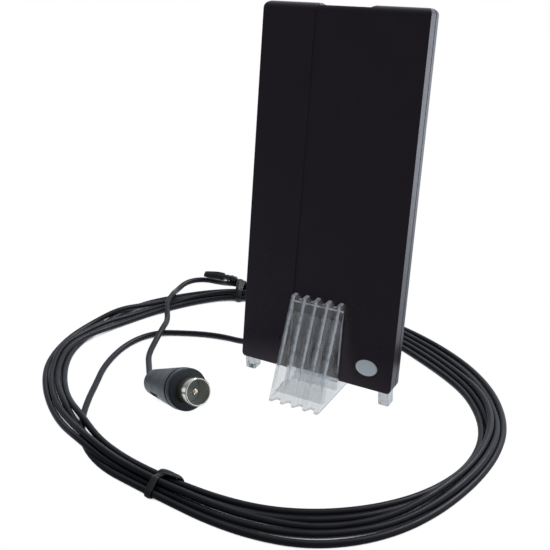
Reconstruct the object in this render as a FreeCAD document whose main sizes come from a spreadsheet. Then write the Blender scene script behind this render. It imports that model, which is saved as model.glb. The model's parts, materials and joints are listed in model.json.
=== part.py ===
import FreeCAD, Part
import math
import os

import Sketcher

# Indoor flat-panel television aerial that leans in a clear ribbed stand, with its coiled lead.
# Millimetres. +X runs along the panel's width to the right, +Y to the back and +Z up.
# The origin is on the table, under the middle of the panel's lower front edge.

SIZES = {
    # panel: two black shells, leaning back
    "panel_width": 60.0,
    "panel_height": 127.0,
    "panel_depth": 6.3,
    "panel_lift": 5.25,
    "lean": 12.6,
    "front_depth": 3.8,
    "wall": 1.4,
    "front_top_round": 2.8,
    "rear_top_round": 2.0,
    "top_corner": 2.1,
    "low_corner": 1.5,
    "field_rise": 0.4,
    "notch_depth": 0.7,
    "notch_ramp": 1.2,
    "lip_height": 1.0,
    "lip_wall": 0.8,
    "lip_gap": 0.15,
    "seam_width": 0.4,
    "seam_depth": 0.35,
    # oval badge on the face
    "badge_length": 8.0,
    "badge_height": 5.6,
    "badge_thickness": 0.4,
    "badge_inset": 9.6,
    "badge_up": 7.5,
    # clear stand
    "stand_width": 20.0,
    "stand_fit": 0.3,
    "stand_gap": 0.2,
    "stand_height": 33.0,
    "stand_slope": 60.7,
    "front_reach": 15.2,
    "sheet_thickness": 1.3,
    "base_thickness": 1.6,
    "rib_height": 1.6,
    "rib_crest": 1.1,
    "rib_root": 3.3,
    "rib_pitch": 4.5,
    "rear_height": 22.0,
    "rear_reach": 28.0,
    "rear_slope": 54.0,
    # clear feet
    "foot_width": 4.0,
    "foot_depth": 4.7,
    "foot_inset": 0.85,
    "foot_setback": 0.3,
    "foot_round": 0.6,
    "peg_radius": 0.9,
    "peg_length": 1.0,
    "peg_back": 2.0,
    "peg_gap": 0.1,
    # inside the shells
    "board_thickness": 1.0,
    "board_margin": 1.2,
    "rest_height": 0.6,
    "rest_side": 4.0,
    "foil_thickness": 0.2,
    "foil_strip": 7.0,
    "foil_gap": 14.0,
    "balun_radius": 2.6,
    "balun_bore": 1.2,
    "balun_height": 1.5,
    "tag_radius": 1.5,
    "tag_thickness": 0.5,
    # cable outlet on the rear shell
    "outlet_up": 6.4,
    "outlet_start": 11.0,
    "outlet_length": 8.0,
    "outlet_radius": 3.0,
    "outlet_stand_off": 2.6,
    "grommet_radius": 1.9,
    "grommet_depth": 4.0,
    "cable_fit": 0.05,
    "boot_length": 4.5,
    "boot_radius": 2.3,
    "boot_tip": 1.6,
    # cable
    "cable_diameter": 2.3,
    "core_diameter": 1.2,
    "core_bend": 0.8,
    "lead_straight": 8.0,
    "tail_straight": 3.4,
    "join_offset": 2.5,
    # coil of cable on the table
    "coil_x": -15.2,
    "coil_y": -11.2,
    "coil_length": 169.4,
    "coil_breadth": 126.2,
    "coil_turn": -8.2,
    "coil_thickness": 3.2,
    "coil_round": 1.2,
    "tie_thickness": 0.5,
    "tie_width": 3.2,
    "tie_gap": 0.1,
    "tie_play": 0.4,
    "tie_tail": 11.0,
    # plug
    "plug_x": -49.1,
    "plug_y": -29.3,
    "plug_heading": -21.9,
    "plug_rise": 19.6,
    "plug_length": 28.2,
    "plug_rear_radius": 4.65,
    "plug_rear_round": 1.6,
    "plug_taper_radius": 7.3,
    "groove_width": 0.6,
    "groove_depth": 0.5,
    "collar_radius": 7.3,
    "collar_length": 5.0,
    "collar_round": 2.0,
    "plug_bore": 4.3,
    "plug_fit": 0.05,
    "shell_radius": 4.75,
    "shell_wall": 0.5,
    "shell_step": 0.2,
    "shell_reach": 5.0,
    "shell_seat": 5.0,
    "shell_chamfer": 0.2,
    "insulator_thickness": 3.0,
    "pin_radius": 1.2,
    "pin_round": 0.9,
    "pin_setback": 1.5,
}

RIBS = 5

# How far the bundle of cable spreads to each side of its middle line, by angle round the loop.
COIL_SPREAD = (
    (-178, 6.2), (-150, 4.7), (-117, 4.5), (-84, 5.0), (-60, 7.1), (-47, 8.2), (-29, 7.0),
    (-12, 4.9), (7, 3.0), (22, 4.2), (36, 6.0), (53, 7.9), (66, 7.4), (98, 5.6), (129, 4.0),
    (150, 6.4), (170, 7.4),
)
FRONT_TIE = -84
BACK_TIE = 129
LEAD_JOIN = -118
TAIL_LEAVES = 132

# Corners of the loose ends of the cable, between the fixed ends.
LEAD_ROUTE = (
    (-36.0, 10.4, 5.0), (-44.0, 12.6, 1.4), (-53.5, 14.6, 1.2), (-63.0, 10.4, 1.2),
    (-72.5, 5.6, 1.2), (-78.6, -3.0, 1.2), (-79.4, -13.6, 1.2), (-76.6, -24.5, 1.2),
    (-72.2, -35.2, 1.2), (-66.4, -45.8, 1.2),
)
TAIL_ROUTE = (
    (-70.5, 49.0, 3.0), (-79.0, 51.6, 2.0), (-88.2, 49.6, 1.6), (-91.6, 40.6, 3.4),
    (-87.6, 30.4, 5.1), (-82.0, 22.5, 5.1), (-76.6, 14.4, 3.9), (-71.6, 4.8, 3.7),
    (-69.1, -3.3, 2.4), (-66.2, -11.6, 1.3), (-61.0, -17.8, 1.5),
)

# Sums of sizes that several pieces share.
THIRD = "(Sizes.stand_width / 2 + Sizes.stand_fit)"
HALF_WIDTH = "(Sizes.panel_width / 2)"
CAVITY_SIDE = "(Sizes.panel_width / 2 - Sizes.wall)"
CAVITY_LOW = "(Sizes.panel_depth * tan(Sizes.lean) + Sizes.notch_depth + Sizes.wall)"
CAVITY_HIGH = "(Sizes.panel_height - Sizes.front_top_round)"
REAR_FLOOR = "(Sizes.panel_depth - Sizes.wall)"
BOARD_FRONT = "(Sizes.wall + Sizes.rest_height)"
BOARD_BACK = "(Sizes.wall + Sizes.rest_height + Sizes.board_thickness)"
BOARD_SIDE = f"({CAVITY_SIDE} - Sizes.board_margin)"
BOARD_LOW = f"({CAVITY_LOW} + Sizes.board_margin)"
BOARD_HIGH = f"({CAVITY_HIGH} - Sizes.board_margin)"
OUTLET_LEFT = "(Sizes.outlet_start + Sizes.outlet_length)"
OUTLET_DEEP = "(Sizes.panel_depth + Sizes.outlet_stand_off)"
GROMMET_END = "(Sizes.outlet_start + Sizes.outlet_length - Sizes.grommet_depth)"
CABLE_BORE = "(Sizes.cable_diameter / 2 + Sizes.cable_fit)"
CORE_ACROSS = f"({GROMMET_END} - 2 * Sizes.core_bend)"
LEAD_START = f"({OUTLET_LEFT} + Sizes.boot_length / 3)"
COIL_LIFT = "(Sizes.tie_thickness + Sizes.tie_gap)"
COIL_TOP = "(Sizes.tie_thickness + Sizes.tie_gap + Sizes.coil_thickness)"
TIE_TOP = f"({COIL_TOP} + Sizes.tie_gap)"
SEAT = "(Sizes.panel_lift + Sizes.notch_depth)"
VALLEY_TOP = "(Sizes.stand_height - Sizes.rib_height)"
SHELL_BACK = "(Sizes.plug_length - Sizes.shell_seat)"
SHELL_RIM = "(Sizes.plug_length + Sizes.shell_reach)"
PIN_TIP = "(Sizes.plug_length + Sizes.shell_reach - Sizes.pin_setback)"

doc = FreeCAD.newDocument("flat_panel_aerial")
sheet = doc.addObject("Spreadsheet::Sheet", "Sizes")
for row, (name, value) in enumerate(SIZES.items(), start=1):
    sheet.set(f"A{row}", name)
    sheet.set(f"B{row}", str(value))
    sheet.setAlias(f"B{row}", name)
doc.recompute()

nodes = []


# Helpers that bind every size to the sheet.

def worth(text):
    """The number that an expression on the sheet comes to."""
    return float(sheet.evalExpression(text))


def body_named(label):
    body = doc.addObject("PartDesign::Body", label)
    body.Label = label
    nodes.append(body)
    return body


def origin_item(body, role):
    return next(item for item in body.Origin.OriginFeatures if item.Role == role)


def place(body, spot, turn):
    """Put a body at a spot and turn it by yaw, pitch and roll."""
    where = "; ".join(spot)
    angles = "; ".join(turn)
    body.setExpression("Placement", f"placement(vector({where}); rotation({angles}))")


def place_on_panel(body, across="0", deep="0", up="0"):
    """Put a body's origin at a spot of the panel and lean it with the panel."""
    spot = (across,
            f"({deep}) * cos(Sizes.lean) + ({up}) * sin(Sizes.lean)",
            f"Sizes.panel_lift - ({deep}) * sin(Sizes.lean) + ({up}) * cos(Sizes.lean)")
    place(body, spot, ("0", "0", "-Sizes.lean"))


def place_on_plug(body):
    """Put a body's +X along the plug, from its heel on the table to its lifted nose."""
    place(body, ("Sizes.plug_x", "Sizes.plug_y", "Sizes.plug_rear_radius * cos(Sizes.plug_rise)"),
          ("Sizes.plug_heading", "-Sizes.plug_rise", "0"))


def sketch_on(body, role, name, offset="0", tilt="0"):
    """A sketch on one of the body's own planes, moved along its normal or tilted about X."""
    sketch = body.newObject("Sketcher::SketchObject", f"{body.Label}_{name}")
    sketch.AttachmentSupport = [(origin_item(body, role), "")]
    sketch.MapMode = "FlatFace"
    about_x = FreeCAD.Rotation(FreeCAD.Vector(1, 0, 0), 1)
    sketch.AttachmentOffset = FreeCAD.Placement(FreeCAD.Vector(), about_x)
    sketch.setExpression("AttachmentOffset.Base.z", offset)
    sketch.setExpression("AttachmentOffset.Rotation.Angle", tilt)
    return sketch


def hold(sketch, kind, places, text):
    """A constraint of a sketch that follows an expression."""
    index = sketch.addConstraint(Sketcher.Constraint(kind, *places, worth(text)))
    sketch.setExpression(f"Constraints[{index}]", text)


def outline(sketch, corners, closed=True):
    """Lines and arcs through corners given as pairs of expressions.

    A third entry makes the side that leaves the corner an arc of that radius, which turns
    left when the fourth entry is 1 and right when it is -1.
    """
    points = [FreeCAD.Vector(worth(c[0]), worth(c[1]), 0) for c in corners]
    sides = len(corners) if closed else len(corners) - 1
    ends = []
    for index in range(sides):
        start = points[index]
        end = points[(index + 1) % len(points)]
        if len(corners[index]) == 2:
            ends.append((sketch.addGeometry(Part.LineSegment(start, end), False), 1, 2))
            continue
        radius = worth(corners[index][2])
        way = corners[index][3]
        chord = end - start
        left = FreeCAD.Vector(-chord.y, chord.x, 0).normalize()
        sagitta = math.sqrt(max(radius ** 2 - (chord.Length / 2) ** 2, 0))
        centre = (start + end) * 0.5 + left * (way * sagitta)
        angles = [math.atan2(p.y - centre.y, p.x - centre.x) for p in (start, end)]
        circle = Part.Circle(centre, FreeCAD.Vector(0, 0, 1), radius)
        arc = sketch.addGeometry(Part.ArcOfCircle(circle, angles[way < 0], angles[way > 0]), False)
        ends.append((arc, 1, 2) if way > 0 else (arc, 2, 1))
        hold(sketch, "Radius", (arc,), corners[index][2])
    for index, (side, start, end) in enumerate(ends):
        hold(sketch, "DistanceX", (-1, 1, side, start), corners[index][0])
        hold(sketch, "DistanceY", (-1, 1, side, start), corners[index][1])
        if closed or index + 1 < sides:
            after = ends[(index + 1) % len(ends)]
            sketch.addConstraint(Sketcher.Constraint("Coincident", side, end, after[0], after[1]))
    if not closed:
        hold(sketch, "DistanceX", (-1, 1, ends[-1][0], ends[-1][2]), corners[-1][0])
        hold(sketch, "DistanceY", (-1, 1, ends[-1][0], ends[-1][2]), corners[-1][1])


def box_outline(sketch, left, right, low, high):
    outline(sketch, ((left, low), (right, low), (right, high), (left, high)))


def round_box_outline(sketch, left, right, low, high, radius):
    """Rectangle with four rounded corners."""
    outline(sketch, (
        (f"{left} + {radius}", low), (f"{right} - {radius}", low, radius, 1),
        (right, f"{low} + {radius}"), (right, f"{high} - {radius}", radius, 1),
        (f"{right} - {radius}", high), (f"{left} + {radius}", high, radius, 1),
        (left, f"{high} - {radius}"), (left, f"{low} + {radius}", radius, 1)))


def circle_outline(sketch, across, up, radius):
    spot = FreeCAD.Vector(worth(across), worth(up), 0)
    circle = Part.Circle(spot, FreeCAD.Vector(0, 0, 1), worth(radius))
    ring = sketch.addGeometry(circle, False)
    hold(sketch, "DistanceX", (-1, 1, ring, 3), across)
    hold(sketch, "DistanceY", (-1, 1, ring, 3), up)
    hold(sketch, "Radius", (ring,), radius)


def push(kind, body, sketch, length, both=False, back=False):
    feature = body.newObject(f"PartDesign::{kind}", f"{sketch.Label}_{kind.lower()}")
    feature.Profile = sketch
    feature.SideType = "Symmetric" if both else "One side"
    feature.Reversed = back
    feature.setExpression("Length", length)
    doc.recompute()
    return feature


def pad(body, sketch, length, both=False, back=False):
    return push("Pad", body, sketch, length, both, back)


def pocket(body, sketch, length, both=False, back=False):
    """A cut, with a check that it did take material away."""
    before = body.Shape.Volume
    feature = push("Pocket", body, sketch, length, both, back)
    if body.Shape.Volume > before - 1e-6:
        raise RuntimeError(f"{feature.Label} cuts nothing")
    return feature


def turned(body, corners):
    """A solid of revolution about the body's X axis, from corners along it and out from it."""
    sketch = sketch_on(body, "XY_Plane", "profile")
    outline(sketch, corners)
    feature = body.newObject("PartDesign::Revolution", f"{body.Label}_turned")
    feature.Profile = sketch
    feature.ReferenceAxis = (sketch, ["H_Axis"])
    feature.Angle = 360
    doc.recompute()


def solid_node(label, shape):
    """A node whose shape is made in code from the sheet."""
    node = doc.addObject("Part::Feature", label)
    node.Label = label
    node.Shape = shape
    nodes.append(node)


# Cuts that both shells share.

def cut_edges(cover):
    """Notch in the middle third of the top edge, and the rounded upper corners."""
    notch = sketch_on(cover, "XZ_Plane", "top_notch")
    over = "Sizes.panel_height + 4 * Sizes.notch_depth"
    floor = "Sizes.panel_height - Sizes.notch_depth"
    outline(notch, ((f"-{THIRD}", "Sizes.panel_height"), (f"-{THIRD} + Sizes.notch_ramp", floor),
                    (f"{THIRD} - Sizes.notch_ramp", floor), (THIRD, "Sizes.panel_height"),
                    (THIRD, over), (f"-{THIRD}", over)))
    pocket(cover, notch, "4 * Sizes.panel_depth", both=True)

    corners = sketch_on(cover, "XZ_Plane", "top_corners")
    for sign, way in (("", 1), ("-", -1)):
        start = "Sizes.panel_height - Sizes.top_corner"
        outline(corners, ((f"{sign}{HALF_WIDTH}", start, "Sizes.top_corner", way),
                          (f"{sign}({HALF_WIDTH} - Sizes.top_corner)", "Sizes.panel_height"),
                          (f"{sign}({HALF_WIDTH} - Sizes.top_corner)", over),
                          (f"{sign}({HALF_WIDTH} + Sizes.wall)", over),
                          (f"{sign}({HALF_WIDTH} + Sizes.wall)", start)))
    pocket(cover, corners, "4 * Sizes.panel_depth", both=True)

    # The lower edge is level, so its notch and its rounded corners run level too.
    low = sketch_on(cover, "XZ_Plane", "low_edge", tilt="Sizes.lean")
    under = "-2 * Sizes.wall"
    outline(low, ((f"-{THIRD}", "0"), (f"-{THIRD}", under), (THIRD, under), (THIRD, "0"),
                  (f"{THIRD} - Sizes.notch_ramp / 4", "Sizes.notch_depth"),
                  (f"-{THIRD} + Sizes.notch_ramp / 4", "Sizes.notch_depth")))
    for sign, way in (("", -1), ("-", 1)):
        outline(low, ((f"{sign}{HALF_WIDTH}", "Sizes.low_corner", "Sizes.low_corner", way),
                      (f"{sign}({HALF_WIDTH} - Sizes.low_corner)", "0"),
                      (f"{sign}({HALF_WIDTH} - Sizes.low_corner)", under),
                      (f"{sign}({HALF_WIDTH} + Sizes.wall)", under),
                      (f"{sign}({HALF_WIDTH} + Sizes.wall)", "Sizes.low_corner")))
    pocket(cover, low, "4 * Sizes.panel_depth", both=True)


def corner_squares(sketch):
    """Four small squares over the corners of the board."""
    for sign in ("", "-"):
        edges = (f"{sign}({BOARD_SIDE} - Sizes.rest_side)", f"{sign}{BOARD_SIDE}")
        box_outline(sketch, *edges, BOARD_LOW, f"{BOARD_LOW} + Sizes.rest_side")
        box_outline(sketch, *edges, f"{BOARD_HIGH} - Sizes.rest_side", BOARD_HIGH)


# Front shell: raised left field, notched edges, hollow, with rests for the board.
front = body_named("front_cover")
place_on_panel(front)
side = sketch_on(front, "YZ_Plane", "side")
outline(side, (("0", "0"), ("Sizes.front_depth", "Sizes.front_depth * tan(Sizes.lean)"),
               ("Sizes.front_depth", "Sizes.panel_height"),
               ("Sizes.front_top_round", "Sizes.panel_height", "Sizes.front_top_round", 1),
               ("0", "Sizes.panel_height - Sizes.front_top_round")))
pad(front, side, "Sizes.panel_width", both=True)

field = sketch_on(front, "YZ_Plane", "field", offset=f"-{HALF_WIDTH}")
outline(field, (("-Sizes.field_rise", "-Sizes.field_rise * tan(Sizes.lean)"),
                ("Sizes.front_top_round", "Sizes.front_top_round * tan(Sizes.lean)"),
                ("Sizes.front_top_round", "Sizes.panel_height",
                 "Sizes.front_top_round + Sizes.field_rise / 2", 1),
                ("-Sizes.field_rise", "Sizes.panel_height - Sizes.front_top_round")))
pad(front, field, f"{HALF_WIDTH} - {THIRD}")
cut_edges(front)

hollow = sketch_on(front, "XZ_Plane", "hollow", offset="-Sizes.front_depth")
box_outline(hollow, f"-{CAVITY_SIDE}", CAVITY_SIDE, CAVITY_LOW, CAVITY_HIGH)
pocket(front, hollow, "Sizes.front_depth - Sizes.wall", back=True)

rests = sketch_on(front, "XZ_Plane", "rests", offset=f"-{BOARD_FRONT}")
corner_squares(rests)
pad(front, rests, "Sizes.rest_height + Sizes.wall / 2")

pegs = sketch_on(front, "XY_Plane", "peg_holes", tilt="Sizes.lean")
for sign in ("", "-"):
    circle_outline(pegs, f"{sign}({HALF_WIDTH} - Sizes.foot_inset - Sizes.foot_width / 2)", "Sizes.peg_back",
                   "Sizes.peg_radius + Sizes.peg_gap")
pocket(front, pegs, "Sizes.peg_length + Sizes.peg_gap", back=True)

# Rear shell: locating lip, posts that hold the board, and the arched cable outlet.
rear = body_named("rear_cover")
place_on_panel(rear)
side = sketch_on(rear, "YZ_Plane", "side")
outline(side, (("Sizes.front_depth", "Sizes.front_depth * tan(Sizes.lean)"),
               ("Sizes.panel_depth", "Sizes.panel_depth * tan(Sizes.lean)"),
               ("Sizes.panel_depth", "Sizes.panel_height - Sizes.rear_top_round", "Sizes.rear_top_round", 1),
               ("Sizes.panel_depth - Sizes.rear_top_round", "Sizes.panel_height"),
               ("Sizes.front_depth", "Sizes.panel_height")))
pad(rear, side, "Sizes.panel_width", both=True)
cut_edges(rear)

# A narrow groove down both sides and over the top marks the seam between the shells.
seam = sketch_on(rear, "XZ_Plane", "seam", offset="-Sizes.front_depth")
side_in = f"({HALF_WIDTH} - Sizes.seam_depth)"
side_out = f"({HALF_WIDTH} + Sizes.wall)"
corner_in = f"({HALF_WIDTH} - Sizes.top_corner)"
corner_radius = "Sizes.top_corner - Sizes.seam_depth"
shoulder = "Sizes.panel_height - Sizes.top_corner"
top_in = "Sizes.panel_height - Sizes.seam_depth"
notch_in = "Sizes.panel_height - Sizes.notch_depth - Sizes.seam_depth"
above = "Sizes.panel_height + Sizes.wall"
outline(seam, ((side_in, "-Sizes.wall"), (side_in, shoulder, corner_radius, 1), (corner_in, top_in),
               (THIRD, top_in), (f"{THIRD} - Sizes.notch_ramp", notch_in),
               (f"-{THIRD} + Sizes.notch_ramp", notch_in), (f"-{THIRD}", top_in),
               (f"-{corner_in}", top_in, corner_radius, 1), (f"-{side_in}", shoulder),
               (f"-{side_in}", "-Sizes.wall"), (f"-{side_out}", "-Sizes.wall"), (f"-{side_out}", above),
               (side_out, above), (side_out, "-Sizes.wall")))
pocket(rear, seam, "Sizes.seam_width")

lip = sketch_on(rear, "XZ_Plane", "lip", offset="-Sizes.front_depth")
for inset in ("Sizes.lip_gap", "(Sizes.lip_gap + Sizes.lip_wall)"):
    box_outline(lip, f"-{CAVITY_SIDE} + {inset}", f"{CAVITY_SIDE} - {inset}",
                f"{CAVITY_LOW} + {inset}", f"{CAVITY_HIGH} - {inset}")
pad(rear, lip, "Sizes.lip_height")

hollow = sketch_on(rear, "XZ_Plane", "hollow", offset="-Sizes.front_depth")
inset = "(Sizes.lip_gap + Sizes.lip_wall)"
box_outline(hollow, f"-{CAVITY_SIDE} + {inset}", f"{CAVITY_SIDE} - {inset}",
            f"{CAVITY_LOW} + {inset}", f"{CAVITY_HIGH} - {inset}")
pocket(rear, hollow, f"{REAR_FLOOR} - Sizes.front_depth")

posts = sketch_on(rear, "XZ_Plane", "posts", offset="-(Sizes.panel_depth - Sizes.wall / 2)")
corner_squares(posts)
pad(rear, posts, f"Sizes.panel_depth - Sizes.wall / 2 - {BOARD_BACK}")

arch = sketch_on(rear, "YZ_Plane", "outlet", offset=f"-{OUTLET_LEFT}")
outline(arch, (("Sizes.panel_depth - Sizes.wall / 2", "Sizes.outlet_up - Sizes.outlet_radius"),
               (OUTLET_DEEP, "Sizes.outlet_up - Sizes.outlet_radius", "Sizes.outlet_radius", 1),
               (f"{OUTLET_DEEP} + Sizes.outlet_radius", "Sizes.outlet_up", "Sizes.outlet_radius", 1),
               (OUTLET_DEEP, "Sizes.outlet_up + Sizes.outlet_radius"),
               ("Sizes.panel_depth - Sizes.wall / 2", "Sizes.outlet_up + Sizes.outlet_radius")))
pad(rear, arch, "Sizes.outlet_length")

socket = sketch_on(rear, "YZ_Plane", "grommet_socket", offset=f"-{OUTLET_LEFT}")
circle_outline(socket, OUTLET_DEEP, "Sizes.outlet_up", "Sizes.grommet_radius + Sizes.cable_fit")
pocket(rear, socket, "Sizes.grommet_depth", back=True)

chamber = sketch_on(rear, "XZ_Plane", "wire_chamber", offset=f"-{REAR_FLOOR}")
box_outline(chamber, f"-{GROMMET_END}", f"-{CORE_ACROSS} + Sizes.core_diameter",
            "Sizes.outlet_up - Sizes.core_diameter", "Sizes.outlet_up + Sizes.core_diameter")
pocket(rear, chamber, "Sizes.wall + Sizes.outlet_stand_off + Sizes.core_diameter")

# Oval badge plate, bare.
badge = body_named("badge_plate")
place_on_panel(badge, across=f"{HALF_WIDTH} - Sizes.badge_inset", up="Sizes.badge_up")
oval = sketch_on(badge, "XZ_Plane", "oval")
spot = FreeCAD.Vector()
reach = FreeCAD.Vector(worth("Sizes.badge_length / 2"), 0, 0)
rise = FreeCAD.Vector(0, worth("Sizes.badge_height / 2"), 0)
ring = oval.addGeometry(Part.Ellipse(reach, rise, spot), False)
oval.exposeInternalGeometry(ring)
oval.addConstraint(Sketcher.Constraint("Coincident", ring, 3, -1, 1))
oval.addConstraint(Sketcher.Constraint("Horizontal", ring + 1))
hold(oval, "Distance", (ring + 1,), "Sizes.badge_length")
hold(oval, "Distance", (ring + 2,), "Sizes.badge_height")
pad(badge, oval, "Sizes.badge_thickness")

# Board with its copper loop on the front and the coupling ring on the back.
board = body_named("circuit_board")
place_on_panel(board)
sheet_outline = sketch_on(board, "XZ_Plane", "outline", offset=f"-{BOARD_BACK}")
box_outline(sheet_outline, f"-{BOARD_SIDE}", BOARD_SIDE, BOARD_LOW, BOARD_HIGH)
pad(board, sheet_outline, "Sizes.board_thickness")

foil = body_named("radiator_foil")
place_on_panel(foil)
loop = sketch_on(foil, "XZ_Plane", "loop", offset=f"-{BOARD_FRONT}")
clear = "1.25 * Sizes.rest_side"
out = f"({BOARD_SIDE} - {clear})"
low = f"({BOARD_LOW} + {clear})"
high = f"({BOARD_HIGH} - {clear})"
outline(loop, (("-Sizes.foil_gap / 2", low), ("-Sizes.foil_gap / 2", f"{low} + Sizes.foil_strip"),
               (f"-{out} + Sizes.foil_strip", f"{low} + Sizes.foil_strip"),
               (f"-{out} + Sizes.foil_strip", f"{high} - Sizes.foil_strip"),
               (f"{out} - Sizes.foil_strip", f"{high} - Sizes.foil_strip"),
               (f"{out} - Sizes.foil_strip", f"{low} + Sizes.foil_strip"),
               ("Sizes.foil_gap / 2", f"{low} + Sizes.foil_strip"), ("Sizes.foil_gap / 2", low),
               (out, low), (out, high), (f"-{out}", high), (f"-{out}", low)))
pad(foil, loop, "Sizes.foil_thickness")

balun = body_named("balun_core")
place_on_panel(balun, deep=BOARD_BACK, up=f"{BOARD_LOW} + 4 * Sizes.balun_radius")
ring = sketch_on(balun, "XZ_Plane", "ring")
circle_outline(ring, "0", "0", "Sizes.balun_radius")
circle_outline(ring, "0", "0", "Sizes.balun_bore")
pad(balun, ring, "Sizes.balun_height", back=True)

tag = body_named("solder_tag")
place_on_panel(tag, across=f"-{CORE_ACROSS}", deep=BOARD_BACK, up="Sizes.outlet_up")
ring = sketch_on(tag, "XZ_Plane", "ring")
circle_outline(ring, "0", "0", "Sizes.tag_radius")
circle_outline(ring, "0", "0", "Sizes.core_diameter / 2 + Sizes.cable_fit")
pad(tag, ring, "Sizes.tag_thickness", back=True)

# Grommet in the outlet, and the stripped end of the cable that reaches the board.
grommet = body_named("cable_grommet")
place_on_panel(grommet, across=f"-{OUTLET_LEFT}", deep=OUTLET_DEEP, up="Sizes.outlet_up")
turned(grommet, (("Sizes.grommet_depth", CABLE_BORE), ("Sizes.grommet_depth", "Sizes.grommet_radius"),
                 ("0", "Sizes.grommet_radius"), ("0", "Sizes.boot_radius"),
                 ("-Sizes.boot_length / 5", "Sizes.boot_radius"),
                 ("-Sizes.boot_length", "Sizes.boot_tip"), ("-Sizes.boot_length", CABLE_BORE)))

core = body_named("cable_core")
place_on_panel(core, deep=OUTLET_DEEP, up="Sizes.outlet_up")
jacket = sketch_on(core, "YZ_Plane", "jacket", offset=f"-{LEAD_START}")
circle_outline(jacket, "0", "0", "Sizes.cable_diameter / 2")
pad(core, jacket, f"{LEAD_START} - {GROMMET_END}")
path = sketch_on(core, "XY_Plane", "path")
outline(path, ((f"-{GROMMET_END}", "0"),
               (f"-{CORE_ACROSS} - Sizes.core_bend", "0", "Sizes.core_bend", -1),
               (f"-{CORE_ACROSS}", "-Sizes.core_bend"),
               (f"-{CORE_ACROSS}", f"{BOARD_BACK} - {OUTLET_DEEP}")), closed=False)
wire = sketch_on(core, "YZ_Plane", "wire", offset=f"-{GROMMET_END}")
circle_outline(wire, "0", "0", "Sizes.core_diameter / 2")
bent = core.newObject("PartDesign::AdditivePipe", "cable_core_bent")
bent.Profile = wire
bent.Spine = (path, ["Edge1", "Edge2", "Edge3"])
doc.recompute()


# Clear stand: a ribbed wedge in front of the panel, a seat under it and a brace behind it.

def crest(z):
    return f"(-Sizes.front_reach + ({z}) / tan(Sizes.stand_slope))"


def valley(z):
    return f"({crest(z)} + Sizes.rib_height / sin(Sizes.stand_slope))"


def wedge_front(z):
    return f"({valley(z)} + Sizes.sheet_thickness / sin(Sizes.stand_slope))"


def panel_line(z, off):
    """A line that leans with the panel, a distance in front of or behind its face."""
    return f"((({z}) - Sizes.panel_lift) * tan(Sizes.lean) + ({off}) / cos(Sizes.lean))"


def brace(z, off="0"):
    return f"(Sizes.rear_reach - ({z}) / tan(Sizes.rear_slope) - ({off}) / sin(Sizes.rear_slope))"


FACE_SIDE = "-Sizes.stand_gap"
WEDGE_BACK = "-(Sizes.stand_gap + Sizes.sheet_thickness)"
BACK_SIDE = "Sizes.panel_depth + Sizes.stand_gap"
BRACE_FRONT = "Sizes.panel_depth + Sizes.stand_gap + Sizes.sheet_thickness"
WEDGE_APEX = ("((Sizes.front_reach - Sizes.panel_lift * tan(Sizes.lean)"
              " - (Sizes.rib_height + Sizes.sheet_thickness) / sin(Sizes.stand_slope)"
              " - (Sizes.stand_gap + Sizes.sheet_thickness) / cos(Sizes.lean))"
              " / (1 / tan(Sizes.stand_slope) - tan(Sizes.lean)))")
BRACE_APEX = ("((Sizes.rear_reach + Sizes.panel_lift * tan(Sizes.lean)"
              " - Sizes.sheet_thickness / sin(Sizes.rear_slope)"
              f" - ({BRACE_FRONT}) / cos(Sizes.lean))"
              " / (tan(Sizes.lean) + 1 / tan(Sizes.rear_slope)))")

stand = body_named("stand")
trunk = sketch_on(stand, "YZ_Plane", "trunk")
outline(trunk, ((valley("0"), "0"), ("Sizes.rear_reach", "0"),
                (brace("Sizes.rear_height"), "Sizes.rear_height"),
                (panel_line("Sizes.rear_height", BACK_SIDE), "Sizes.rear_height"),
                (panel_line(SEAT, BACK_SIDE), SEAT), (panel_line(SEAT, FACE_SIDE), SEAT),
                (panel_line(VALLEY_TOP, FACE_SIDE), VALLEY_TOP),
                (valley(VALLEY_TOP), VALLEY_TOP)))
pad(stand, trunk, "Sizes.stand_width", both=True)

sections = []
first_rib = f"-{RIBS - 1} * Sizes.rib_pitch / 2"
for name, across, line, top in (("left_root", "-Sizes.rib_root / 2", valley, VALLEY_TOP),
                                ("left_crest", "-Sizes.rib_crest / 2", crest, "Sizes.stand_height"),
                                ("right_crest", "Sizes.rib_crest / 2", crest, "Sizes.stand_height"),
                                ("right_root", "Sizes.rib_root / 2", valley, VALLEY_TOP)):
    section = sketch_on(stand, "YZ_Plane", name, offset=f"{first_rib} + {across}")
    outline(section, ((line("0"), "0"), (panel_line("0", WEDGE_BACK), "0"),
                      (panel_line(SEAT, FACE_SIDE), SEAT), (panel_line(top, FACE_SIDE), top),
                      (line(top), top)))
    sections.append(section)
doc.recompute()
rib = stand.newObject("PartDesign::AdditiveLoft", "rib")
rib.Profile = sections[0]
rib.Sections = [(section, "") for section in sections[1:]]
rib.Ruled = True
doc.recompute()
ribs = stand.newObject("PartDesign::LinearPattern", "ribs")
ribs.Originals = [rib]
ribs.Direction = (origin_item(stand, "X_Axis"), [""])
ribs.setExpression("Length", f"{RIBS - 1} * Sizes.rib_pitch")
ribs.Occurrences = RIBS
stand.Tip = ribs
doc.recompute()

flanks = sketch_on(stand, "XZ_Plane", "flanks")
for sign in ("", "-"):
    box_outline(flanks, f"{sign}Sizes.stand_width / 2", f"{sign}Sizes.stand_width", "-Sizes.rib_root",
                "Sizes.stand_height + Sizes.rib_root")
pocket(stand, flanks, "4 * Sizes.rear_reach", both=True)

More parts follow.
